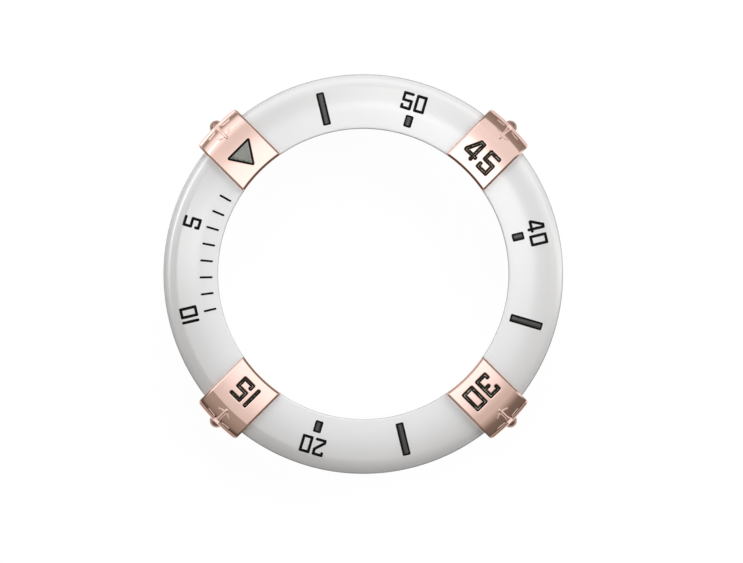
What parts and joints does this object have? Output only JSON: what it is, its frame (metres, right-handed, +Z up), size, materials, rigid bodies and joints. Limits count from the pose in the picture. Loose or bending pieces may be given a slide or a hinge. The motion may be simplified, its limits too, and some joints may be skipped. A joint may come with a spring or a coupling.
{
  "type": "rotating watch bezel",
  "caption": "Rotating watch bezel: glossy white ring with a countdown scale, clamped by rose gold rider tabs with radial screws, on a clicking seat ring.",
  "frame": {"origin": "on the turning axis, in the plane of the seat ring's underside", "axes": "+Z up through the opening towards the face, zero mark at 135 degrees from +X towards +Y, as pictured from above"},
  "size_m": [0.038, 0.038, 0.0047],
  "materials": {
    "turned_steel": "fine turned",
    "spring_steel": "drawn wire",
    "hard_steel": "polished",
    "black_rubber": "matt",
    "adhesive_pad": "matt",
    "white_ceramic": "high gloss",
    "rose_gold": "mirror polished, rose gold plated",
    "black_enamel": "gloss",
    "grey_fill": "satin",
    "grey_line": "satin",
    "grey_insert": "gloss"
  },
  "bodies": {
    "seat": {"seat_ring": "turned_steel", "retaining_wire": "spring_steel", "seal_ring": "black_rubber", "click_spring_1": "spring_steel", "click_spring_2": "spring_steel"},
    "click_pin_1": {"click_pin_1": "hard_steel"},
    "click_pin_2": {"click_pin_2": "hard_steel"},
    "bezel": {"carrier_ring": "turned_steel", "cushion_ring": "adhesive_pad", "white_ring": "white_ceramic", "tab_screws": "rose_gold", "minute_ticks": "black_enamel", "triangle_rim": "black_enamel", "triangle_fill": "grey_fill", "rider_tab_00": "rose_gold", "rider_tab_45": "rose_gold", "rider_tab_30": "rose_gold", "rider_tab_15": "rose_gold", "numeral_50": "black_enamel", "numeral_40": "black_enamel", "numeral_20": "black_enamel", "numeral_10": "black_enamel", "numeral_05": "black_enamel", "numeral_45_rim": "black_enamel", "numeral_45_line": "grey_line", "numeral_30_rim": "black_enamel", "numeral_30_line": "grey_line", "numeral_15_rim": "black_enamel", "numeral_15_line": "grey_line", "baton_55_rim": "black_enamel", "baton_55_insert": "grey_insert", "baton_35_rim": "black_enamel", "baton_35_insert": "grey_insert", "baton_25_rim": "black_enamel", "baton_25_insert": "grey_insert", "baton_50_rim": "black_enamel", "baton_50_insert": "grey_insert", "baton_40_rim": "black_enamel", "baton_40_insert": "grey_insert", "baton_20_rim": "black_enamel", "baton_20_insert": "grey_insert"}
  },
  "joints": [
    {"name": "bezel_turn", "type": "hinge", "parent": "seat", "child": "bezel", "pos_m": [0, 0, 0.00221], "axis": [0, 0, 1], "continuous": true},
    {"name": "click_pin_1_press", "type": "slide", "parent": "seat", "child": "click_pin_1", "axis": [0, 0, 1], "range_m": [-0.000238, 0], "stiffness_N_per_m": 1200, "springref_m": 0.0003, "deforming": ["click_spring_1"]},
    {"name": "click_pin_2_press", "type": "slide", "parent": "seat", "child": "click_pin_2", "axis": [0, 0, 1], "range_m": [-0.000238, 0], "stiffness_N_per_m": 1200, "springref_m": 0.0003, "deforming": ["click_spring_2"]}
  ]
}
